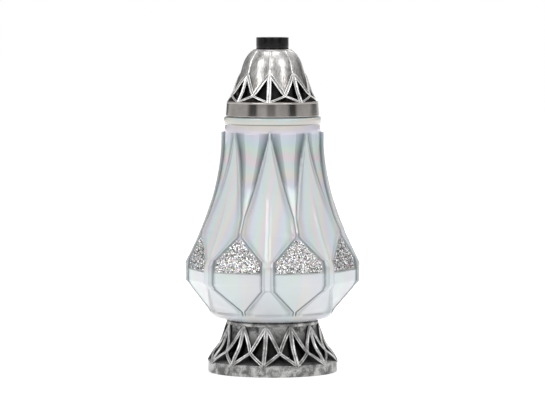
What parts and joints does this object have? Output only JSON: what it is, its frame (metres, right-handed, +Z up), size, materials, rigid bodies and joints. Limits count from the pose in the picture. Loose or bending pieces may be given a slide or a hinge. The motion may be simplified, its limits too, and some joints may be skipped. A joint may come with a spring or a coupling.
{
  "type": "grave lantern",
  "caption": "Faceted pearl-glass grave lantern on an openwork silvered foot, with a petal-domed lift-off lid, metal chimney and a candle insert inside.",
  "frame": {"origin": "centre of the foot's underside, on the surface that the lantern stands on", "axes": "+Z up along the lantern's axis, -Y towards the front, where one lancet of the glass points at the viewer"},
  "size_m": [0.1566, 0.1566, 0.3],
  "materials": {
    "foot_silver": "antique silver lacquer over black moulded plastic, bright on the edges and black in the pockets",
    "seat_adhesive": "clear grey adhesive, satin",
    "pearl_glass": "clear pressed glass with an iridescent pearl coat, polished",
    "glitter": "coarse silver and rainbow glitter flakes in clear resin",
    "lid_silver": "silvered plastic, brushed petals, dark in the windows, polished hem",
    "chimney_metal": "dark polished sheet steel",
    "vent_metal": "pressed sheet steel, satin",
    "shield_tin": "tinplate, satin",
    "cup_plastic": "thin milky plastic",
    "wax": "white paraffin, waxy",
    "wick_cotton": "braided cotton",
    "holder_tin": "tinplate, satin",
    "cover_tin": "gold-lacquered tinplate"
  },
  "bodies": {
    "base": {"foot": "foot_silver", "seat_bead": "seat_adhesive", "glass": "pearl_glass", "glitter_panels": "glitter"},
    "lid": {"lid_shell": "lid_silver", "chimney": "chimney_metal", "chimney_cap": "vent_metal", "heat_shield": "shield_tin"},
    "candle": {"candle_cup": "cup_plastic", "candle_wax": "wax", "candle_wick": "wick_cotton", "wick_holder": "holder_tin", "candle_cover": "cover_tin"}
  },
  "joints": [
    {"name": "lid_lift", "type": "slide", "parent": "base", "child": "lid", "axis": [0, 0, 1], "range_m": [0, 0.1]},
    {"name": "candle_lift", "type": "slide", "parent": "base", "child": "candle", "axis": [0, 0, 1], "range_m": [0, 0.14]}
  ]
}
